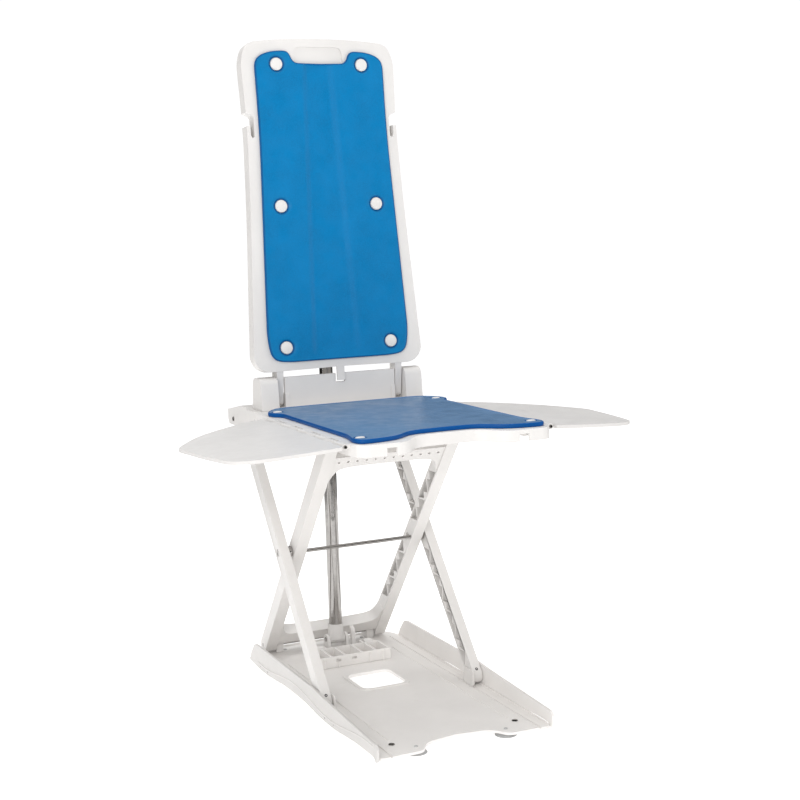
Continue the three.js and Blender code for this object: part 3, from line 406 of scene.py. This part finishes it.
def suction_cups():
    """A thin bell with a soft lip, two rings and a push-through stem."""
    for name in frame["nodes"]:
        if name.startswith("suction_cup"):
            middle, low, high, radius = measure(name, UP)
            radius *= CUP_SHARE
            top = (high - low) / MM
            profile = [(0, 2.0), (radius * 0.5, 1.7), (radius - 4.5, 1.0), (radius - 3.2, 0),
                       (radius - 0.4, 0), (radius, 0.4), (radius - 0.3, 0.9), (radius - 3.5, 1.7),
                       (radius - 4, 2.5), (radius - 5.2, 2.6),
                       (radius - 6, 2.4), (radius * 0.55, 4.4), (3.6, 4.6), (3.0, 4.7), (2.9, top - 2.4),
                       (3.3, top - 1.8), (2.8, top - 0.3), (2.2, top), (0, top)]
            mesh = turned(name + "_bell", profile, middle + UP * low, UP, 56)
            add_piece(name + "_bell", mesh, name, [name])


# A socket-head screw from the floor of its hexagon out over its head.
SCREW = [(0, -1.6, 6), (1.5, -1.6, 6), (1.5, 0.55, 6), (1.9, 0.75), (2.6, 0.6), (3.1, 0.1), (3.1, -0.5),
         (2, -0.6), (2, -1.8), (0, -1.8)]


def screw(name, place, axis, like, size=1.0):
    """A socket-head screw whose head stands at place and looks along axis."""
    profile = [(p[0] * size, p[1] * size, *p[2:]) for p in SCREW]
    mesh = turned(name, profile, place, axis, 36)
    obj = add_piece(name, mesh, like)
    mesh.materials[0] = MATERIALS["dark_plastic"]


FOOT_SCREW = {"along": 5 * MM, "ahead": 13.1 * MM, "size": 0.8}  # from the arm's lower pivot
GUARD_SCREW = {"sunk": 1.2 * MM, "size": 0.52, "z": 8.6 * MM, "y": (-0.138, -0.102, 0.168, 0.204)}


def screws():
    """Small dark screws in the arms' feet and in the side guards' holes."""
    foot = Vector(JOINTS["lower_shoe_pivot"]["pos_m"])
    head = Vector(JOINTS["seat_pivot"]["pos_m"])
    along = (head - foot).normalized()
    ahead = ACROSS.cross(along)
    if ahead.y > 0:
        ahead = -ahead
    for side, sign in SIDES:
        low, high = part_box(f"outer_arm_{side}")
        place = Vector(((low.x + high.x) / 2, foot.y, foot.z))
        place += along * FOOT_SCREW["along"] + ahead * FOOT_SCREW["ahead"]
        screw(f"foot_screw_{side}", place, ahead, f"outer_arm_{side}", FOOT_SCREW["size"])
        low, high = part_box(f"side_guard_{side}")
        outside = high.x if sign > 0 else low.x
        for i, y in enumerate(GUARD_SCREW["y"]):
            place = Vector((outside - sign * GUARD_SCREW["sunk"], y, GUARD_SCREW["z"]))
            name = f"guard_screw_{side}_{i + 1}"
            screw(name, place, ACROSS * sign, f"side_guard_{side}", GUARD_SCREW["size"])


# A peg cap's rings: a share of the peg's size, and of the height from the peg's foot to the mat's top.
PEG_RINGS = [(0.62, 0.0), (0.62, 0.45), (0.95, 0.5), (1.0, 0.62), (0.99, 0.85), (0.9, 0.97), (0.7, 1.04),
             (0.35, 1.08)]
PEG_SIDES = 40


def peg_caps():
    """Domed oblong buttons that hold the seat mat by its ears."""
    for name in frame["nodes"]:
        if name.startswith("pad_peg"):
            low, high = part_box(name)
            middle = (low + high) / 2
            half, wide = (high.x - low.x) / 2, (high.y - low.y) / 2
            top = SEAT_HIGH.z - low.z
            bm = bmesh.new()
            rings = []
            for size, level in PEG_RINGS:
                ring = []
                for i in range(PEG_SIDES):
                    angle = 2 * math.pi * i / PEG_SIDES
                    x = wide * math.cos(angle) + math.copysign(half - wide, math.cos(angle))
                    ring.append(bm.verts.new((middle.x + x * size, middle.y + wide * math.sin(angle) * size,
                                              low.z + top * level)))
                rings.append(ring)
            for lower, upper in zip(rings, rings[1:]):
                for i in range(PEG_SIDES):
                    j = (i + 1) % PEG_SIDES
                    bm.faces.new((lower[i], lower[j], upper[j], upper[i]))
            bm.faces.new(rings[-1])
            bm.faces.new(list(reversed(rings[0])))
            add_piece(name + "_cap", mesh_of(name + "_cap", bm), name, [name])


SEAT_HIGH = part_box("seat_pad")[1]
COVER_LOW, COVER_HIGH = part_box("backrest_cover")


# ---------------------------------------------------------------- soft mats
def flat_loops(node, normal):
    """Outlines of the node's flat face furthest along normal, with the material on their left."""
    bm = bmesh.new()
    bm.from_mesh(frame["nodes"][node].data)
    bmesh.ops.remove_doubles(bm, verts=bm.verts, dist=1e-5)
    bm.normal_update()
    level = max(v.co.dot(normal) for v in bm.verts)
    top = {f for f in bm.faces if f.normal.dot(normal) > 0.999
           and f.calc_center_median().dot(normal) > level - 0.3 * MM}
    following = {}
    for face in top:
        for corner in face.loops:
            if sum(f in top for f in corner.edge.link_faces) == 1:
                following[corner.vert.index] = corner.link_loop_next.vert.index
    bm.verts.ensure_lookup_table()
    loops = []
    while following:
        start, index = following.popitem()
        loop = [start]
        while index != start:
            loop.append(index)
            index = following.pop(index)
        loops.append([bm.verts[i].co.copy() for i in loop])
    bm.free()
    return loops, level


def evened(points, step):
    """A closed outline with points a step apart."""
    lengths = [(b - a).length for a, b in zip(points, points[1:] + points[:1])]
    count = max(16, round(sum(lengths) / step))
    pitch = sum(lengths) / count
    result, index, gone = [], 0, 0.0
    for i in range(count):
        while i * pitch > gone + lengths[index] and index < len(points) - 1:
            gone += lengths[index]
            index += 1
        part = min(1, (i * pitch - gone) / lengths[index]) if lengths[index] else 0
        result.append(points[index].lerp(points[(index + 1) % len(points)], part))
    return result


def eased(points, rounds):
    """The outline with each point drawn a little towards its neighbours."""
    for _ in range(rounds):
        points = [(points[i - 1] + p * 2 + points[(i + 1) % len(points)]) / 4 for i, p in enumerate(points)]
    return points


def inset(points, distance):
    result = []
    for i, p in enumerate(points):
        along = (points[(i + 1) % len(points)] - points[i - 1]).normalized()
        result.append(p + Vector((-along.y, along.x)) * distance)
    return result


def is_inside(point, loops):
    inside = False
    for loop in loops:
        for a, b in zip(loop, loop[1:] + loop[:1]):
            if (a.y > point.y) != (b.y > point.y):
                if point.x < a.x + (b.x - a.x) * (point.y - a.y) / (b.y - a.y):
                    inside = not inside
    return inside


def fill(loops, spacing):
    """Triangles between closed loops, over a grid of points a spacing apart, or none where spacing is 0."""
    points = [p for loop in loops for p in loop]
    edges, start = [], 0
    for loop in loops:
        edges += [(start + i, start + (i + 1) % len(loop)) for i in range(len(loop))]
        start += len(loop)
    if spacing:
        near = {(round(p.x / spacing), round(p.y / spacing)) for p in points}
        ys = [p.y for p in points]
        row = math.floor(min(ys) / spacing)
        while row * spacing < max(ys):
            crossings = []
            y = row * spacing
            for loop in loops:
                for a, b in zip(loop, loop[1:] + loop[:1]):
                    if (a.y > y) != (b.y > y):
                        crossings.append(a.x + (b.x - a.x) * (y - a.y) / (b.y - a.y))
            crossings.sort()
            for left, right in zip(crossings[::2], crossings[1::2]):
                for column in range(math.ceil(left / spacing), math.floor(right / spacing) + 1):
                    if (column, row) not in near:
                        points.append(Vector((column * spacing, y)))
            row += 1
    result = delaunay_2d_cdt(points, edges, [], 0, 1e-7)
    corners, triangles = result[0], result[2]
    inner = [t for t in triangles if is_inside(sum((corners[i] for i in t), Vector((0, 0))) / 3, loops)]
    return corners, inner


# A mat's edge: how far in from its outline, in mm, and how high, as a share of its thickness.
ROLLED_EDGE = [(0.9, 0.0), (0.3, 0.1), (0.0, 0.32), (0.0, 0.58), (0.3, 0.8), (0.9, 0.95), (1.6, 1.0),
               (2.3, 0.97), (2.9, 0.88), (3.5, 0.83)]
SLOT_EDGE = [(0.5, 0.0), (0.1, 0.15), (0.0, 0.5), (0.2, 0.78), (0.7, 0.92), (1.2, 0.92), (1.7, 0.85)]
DIMPLE_EDGE = [(0.4, 0.0), (0.0, 0.1), (0.1, 0.3), (0.7, 0.42), (1.6, 0.46), (2.6, 0.54), (3.6, 0.66),
               (4.6, 0.76)]
MAT_STEP = 2.4 * MM
MAT_GRID = 4.2 * MM


def soft_mat(name, node, normal, hole_edge, relief):
    """A moulded foam mat on the CAD solid's outline, with rolled edges and a top that follows relief."""
    u_axis = ACROSS
    v_axis = normal.cross(u_axis)
    loops, level = flat_loops(node, normal)
    flat = [[Vector((p.dot(u_axis), p.dot(v_axis))) for p in loop] for loop in loops]
    flat.sort(key=lambda loop: max(p.x for p in loop) - min(p.x for p in loop), reverse=True)
    flat = [eased(evened(loop, MAT_STEP if i == 0 else MAT_STEP / 2), 3) for i, loop in enumerate(flat)]
    low = min(v.co.dot(normal) for v in frame["nodes"][node].data.vertices)
    thick = level - low
    bm = bmesh.new()
    # Painted shade: a share per vertex, high on the mat's rolled edges and 0 on its top, that darkens the
    # foam's colour.
    edge_shade = bm.verts.layers.float.new("edge_shade")

    def vertex(p, height, painted_shade):
        v = bm.verts.new(u_axis * p.x + v_axis * p.y + normal * (low + height))
        v[edge_shade] = painted_shade
        return v

    first_rings, last_rings, last_lines = [], [], []
    for index, loop in enumerate(flat):
        edge = ROLLED_EDGE if index == 0 else hole_edge
        rings = []
        for order, (inward, share) in enumerate(edge):
            line = inset(loop, inward * MM)
            blend = order / (len(edge) - 1)
            # Painted shade is full on the outer rings of the edge and fades out towards the top.
            painted_shade = eased_step((0.95 - blend) / 0.35)
            rings.append([vertex(p, share * thick + relief(p) * blend ** 2, painted_shade) for p in line])
        for lower, upper in zip(rings, rings[1:]):
            for i in range(len(loop)):
                j = (i + 1) % len(loop)
                bm.faces.new((lower[i], lower[j], upper[j], upper[i]))
        first_rings.append(rings[0])
        last_rings.append(rings[-1])
        last_lines.append(inset(loop, edge[-1][0] * MM))
    known = [v for ring in last_rings for v in ring]
    corners, triangles = fill(last_lines, MAT_GRID)
    hole_level = hole_edge[-1][1]
    base = ROLLED_EDGE[-1][1]
    top = []
    for i, p in enumerate(corners):
        if i < len(known):
            top.append(known[i])
            continue
        reach = min(min((p - q).length for q in line) for line in last_lines[1:])
        lift = (hole_level - base) * math.exp(-(reach / (7 * MM)) ** 2)
        top.append(vertex(p, (base + lift) * thick + relief(p), 0.0))
    for triangle in triangles:
        bm.faces.new([top[i] for i in triangle])
    known = [v for ring in first_rings for v in ring]
    _, triangles = fill([inset(loop, (ROLLED_EDGE if i == 0 else hole_edge)[0][0] * MM)
                         for i, loop in enumerate(flat)], 0)
    for triangle in triangles:
        bm.faces.new([known[i] for i in reversed(triangle)])
    mesh = mesh_of(name, bm)
    obj = add_piece(name, mesh, node, [node])


def eased_step(value):
    value = min(1.0, max(0.0, value))
    return value * value * (3 - 2 * value)


def seat_relief(p):
    """Slow waves of a soft mat that lies on the deck, and a shallow hollow where people sit."""
    waves = noise.noise(Vector((p.x * 14, p.y * 11, 0.4))) * 0.55
    hollow = -0.35 * math.exp(-((p.x / 0.11) ** 2 + ((p.y + 0.08) / 0.13) ** 2))
    return (waves + hollow) * MM


# The sunk band up the cover, in mm: X of its edges at the foot and the top, and the width of their slopes.
CHANNEL = {"depth": 3.6, "left": (-51, -30), "right": (43, 26), "step": 6.5, "slope": 16.0}


def cover_relief(p):
    """A sunk band up the middle, narrower towards the top, between gently crowned sides."""
    v_axis = FORWARD.cross(ACROSS)
    low, high = COVER_LOW.dot(v_axis), COVER_HIGH.dot(v_axis)
    up = min(1.0, max(0.0, (p.y - low) / (high - low)))
    left, right = (CHANNEL[k][0] + (CHANNEL[k][1] - CHANNEL[k][0]) * up for k in ("left", "right"))
    x = p.x / MM
    sunk = eased_step((x - left) / CHANNEL["step"]) * eased_step((right - x) / CHANNEL["slope"])
    ends = eased_step((p.y - low) / 0.03) * eased_step((high - p.y) / 0.03)
    crown = 0.9 * math.cos(min(1.0, abs(x) / 125) * math.pi / 2)
    waves = noise.noise(Vector((p.x * 9, p.y * 6, 1.7))) * 0.5
    return (crown + waves - CHANNEL["depth"] * sunk * ends) * MM


def mats():
    soft_mat("seat_pad_foam", "seat_pad", UP, SLOT_EDGE, seat_relief)
    soft_mat("backrest_cover_foam", "backrest_cover", FORWARD, DIMPLE_EDGE, cover_relief)


# ---------------------------------------------------------------- stiffening ribs behind the backrest
RIB = {"face": 18.9, "thick": 2.2, "deep": 12, "low_deep": 9}  # mm; face: from the hinge to the skin's back
RIB_ROWS = {"levels": range(110, 471, 60), "inner": 27, "outer": 128, "taper": 0.03}
RIB_COLUMNS = {"places": (60, 93), "low": 84, "high": 520}
CUBE = ((0, 1, 3, 2), (4, 6, 7, 5), (0, 4, 5, 1), (2, 3, 7, 6), (0, 2, 6, 4), (1, 5, 7, 3))


def back_ribs():
    """Thin moulded ribs inside the backrest's open back, clear of the channel that the column runs in."""
    v_axis = FORWARD.cross(ACROSS)
    hinge = Vector(JOINTS["recline"]["pos_m"])
    bm = bmesh.new()

    def rib(x0, x1, z0, z1, deep):
        depths = (-RIB["face"], -RIB["face"] + deep)
        corners = [(x, y, z) for x in (x0, x1) for y in depths for z in (z0, z1)]
        verts = [bm.verts.new(hinge + (ACROSS * x - FORWARD * y + v_axis * z) * MM) for x, y, z in corners]
        for quad in CUBE:
            bm.faces.new([verts[i] for i in quad])

    for _, sign in SIDES:
        for level in RIB_ROWS["levels"]:
            reach = RIB_ROWS["outer"] - RIB_ROWS["taper"] * level
            rib(*sorted((sign * RIB_ROWS["inner"], sign * reach)), level, level + RIB["thick"], RIB["deep"])
        for x in RIB_COLUMNS["places"]:
            sides = sorted((sign * x, sign * (x + RIB["thick"])))
            rib(*sides, RIB_COLUMNS["low"], RIB_COLUMNS["high"], RIB["low_deep"])
    obj = add_piece("backrest_ribs", mesh_of("backrest_ribs", bm, False), "backrest_shell")
    soften(obj, 0.5)


# ---------------------------------------------------------------- side guards
BEAD = {"out": 1.1 * MM, "half": 1.4 * MM, "low": 0.0125, "rise": 0.0135, "fixed": -0.12, "pitch": 0.306,
        "from_front": 0.012, "from_rear": 0.05, "steps": 96, "sides": 6}


def guard_beads():
    """A half-round bead on each guard's outer face, which rises between the two places where it is fixed."""
    corners = BEAD["sides"] + 1
    for side, sign in SIDES:
        low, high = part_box(f"side_guard_{side}")
        face = high.x if sign > 0 else low.x
        front, rear = low.y + BEAD["from_front"], high.y - BEAD["from_rear"]
        bm = bmesh.new()
        rings = []
        for i in range(BEAD["steps"] + 1):
            y = front + (rear - front) * i / BEAD["steps"]
            z = BEAD["low"] + BEAD["rise"] * math.sin(math.pi * (y - BEAD["fixed"]) / BEAD["pitch"]) ** 2
            ring = []
            for j in range(corners):
                angle = math.pi * j / BEAD["sides"]
                out = BEAD["out"] * math.sin(angle)
                ring.append(bm.verts.new((face + sign * out, y, z + BEAD["half"] * math.cos(angle))))
            rings.append(ring)
        for lower, upper in zip(rings, rings[1:]):
            for j in range(corners):
                after = (j + 1) % corners
                bm.faces.new((lower[j], lower[after], upper[after], upper[j]))
        bm.faces.new(rings[0])
        bm.faces.new(list(reversed(rings[-1])))
        add_piece(f"guard_bead_{side}", mesh_of(f"guard_bead_{side}", bm), f"side_guard_{side}")


# ---------------------------------------------------------------- studio
def area_light(name, place, aim, size, power):
    light = bpy.data.lights.new(name, "AREA")
    light.shape = "DISK"
    light.size = size
    light.energy = power
    obj = bpy.data.objects.new(name, light)
    obj.location = place
    obj.rotation_euler = (Vector(aim) - Vector(place)).to_track_quat("-Z", "Y").to_euler()
    bpy.context.scene.collection.objects.link(obj)


def stage_piece(name, mesh, colour, roughness, glow=0.0):
    obj = bpy.data.objects.new(name, mesh)
    paint = Paint(name, colour, roughness, Specular_IOR_Level=0.1)
    paint.set("Emission Color", (1, 1, 1, 1))
    paint.set("Emission Strength", glow)
    mesh.materials.append(paint.material)
    bpy.context.scene.collection.objects.link(obj)
    return obj


def reflection_card(name, start, end, colour):
    """A curved card round the lift between two bearings, in degrees. Only reflections see it."""
    radius, top, steps, behind = 1.5, 1.7, 12, 0.21
    bm = bmesh.new()
    columns = []
    for i in range(steps + 1):
        angle = math.radians(start + (end - start) * i / steps)
        x, y = radius * math.cos(angle), behind + radius * math.sin(angle)
        columns.append((bm.verts.new((x, y, 0.0)), bm.verts.new((x, y, top))))
    for (a, b), (c, d) in zip(columns, columns[1:]):
        bm.faces.new((a, c, d, b))
    card = stage_piece(name, mesh_of(name, bm), colour, 0.9)
    for kind in ("camera", "diffuse", "shadow", "transmission", "volume_scatter"):
        setattr(card, f"visible_{kind}", False)


def studio():
    bm = bmesh.new()
    bmesh.ops.create_circle(bm, cap_ends=True, segments=96, radius=14)
    stage_piece("floor", mesh_of("floor", bm), (0.96, 0.96, 0.96), 0.9, 0.4)
    area_light("key", (-2.2, -2.6, 1.4), (0, 0, 0.4), 1.6, 41)
    area_light("fill", (2.9, -2.0, 1.2), (0, 0, 0.3), 1.8, 12)
    area_light("strip", (-0.3, -3.0, 1.4), (0, 0, 0.8), 0.4, 5.5)
    area_light("top", (0.2, 0.4, 3.4), (0, 0, 0.4), 2.4, 40)
    area_light("rear", (1.2, 3.0, 1.8), (0, 0, 0.5), 2.0, 10)
    for name, start, end, colour in (("card_left", 100, 184, (0.02, 0.02, 0.02)),
                                     ("card_middle", 247, 304, (0.015, 0.015, 0.015)),
                                     ("card_grey", 304, 372, (0.2, 0.195, 0.19)),
                                     ("card_right", 372, 440, (0.02, 0.02, 0.02))):
        reflection_card(name, start, end, colour)
    world = bpy.data.worlds.new("studio")
    world.use_nodes = True
    nodes, links = world.node_tree.nodes, world.node_tree.links
    sky = nodes["Background"]
    sky.inputs["Color"].default_value = (1, 1, 1, 1)
    path = nodes.new("ShaderNodeLightPath")
    level = nodes.new("ShaderNodeMapRange")  # white behind the lift, softer as a light
    level.inputs["To Min"].default_value = 0.66
    level.inputs["To Max"].default_value = 1.05
    links.new(path.outputs["Is Camera Ray"], level.inputs["Value"])
    links.new(level.outputs["Result"], sky.inputs["Strength"])
    bpy.context.scene.world = world
    bpy.context.scene.view_settings.view_transform = "Standard"


add_camera()
dress_nodes()
mats()
snap_buttons()
peg_caps()
bright_bars()
suction_cups()
screws()
back_ribs()
guard_beads()
studio()
